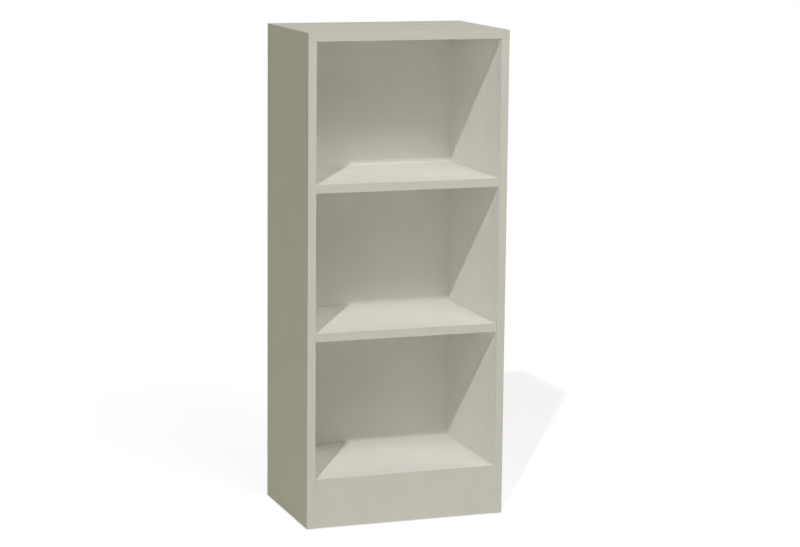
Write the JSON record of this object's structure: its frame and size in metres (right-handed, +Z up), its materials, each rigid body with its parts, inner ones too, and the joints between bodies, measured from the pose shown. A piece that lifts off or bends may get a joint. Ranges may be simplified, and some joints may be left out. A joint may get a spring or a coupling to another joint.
{
  "type": "bookcase",
  "caption": "Upright open bookcase of pale melamine-faced board, with a fixed shelf, a loose shelf that pulls out, a plinth base and a thin nailed back.",
  "frame": {"origin": "middle of the footprint, on the floor under the glides", "axes": "+Z up, +Y from the open front to the back, +X to the viewer's right when facing the front"},
  "size_m": [0.44, 0.2956, 1.043],
  "materials": {
    "melamine_board": "satin",
    "edging": "satin",
    "back_board": "satin",
    "zinc_fitting": "die-cast, satin",
    "steel_fitting": "zinc-plated",
    "dowel_wood": "matt",
    "plastic_fitting": "matt"
  },
  "bodies": {
    "carcass": {"left_side_panel": "melamine_board", "right_side_panel": "melamine_board", "top_panel": "melamine_board", "upper_shelf": "melamine_board", "bottom_shelf": "melamine_board", "plinth_panel": "melamine_board", "left_side_edging": "edging", "right_side_edging": "edging", "top_front_edging": "edging", "top_left_edging": "edging", "top_right_edging": "edging", "upper_shelf_edging": "edging", "bottom_shelf_edging": "edging", "back_panel": "back_board", "top_cams": "zinc_fitting", "upper_shelf_cams": "zinc_fitting", "bottom_shelf_cams": "zinc_fitting", "plinth_cams": "zinc_fitting", "top_cam_bolts": "steel_fitting", "upper_shelf_cam_bolts": "steel_fitting", "bottom_shelf_cam_bolts": "steel_fitting", "plinth_cam_bolts": "steel_fitting", "shelf_pins": "steel_fitting", "wall_brackets": "steel_fitting", "bracket_screws": "steel_fitting", "back_nails": "steel_fitting", "glide_nails": "steel_fitting", "top_dowels": "dowel_wood", "upper_shelf_dowels": "dowel_wood", "bottom_shelf_dowels": "dowel_wood", "plinth_dowels": "dowel_wood", "cam_caps": "plastic_fitting", "floor_glides": "plastic_fitting"},
    "loose_shelf": {"lower_shelf": "melamine_board", "lower_shelf_edging": "edging"}
  },
  "joints": [
    {"name": "lower_shelf_slide", "type": "slide", "parent": "carcass", "child": "loose_shelf", "axis": [0, -1, 0], "range_m": [0, 0.29]}
  ]
}
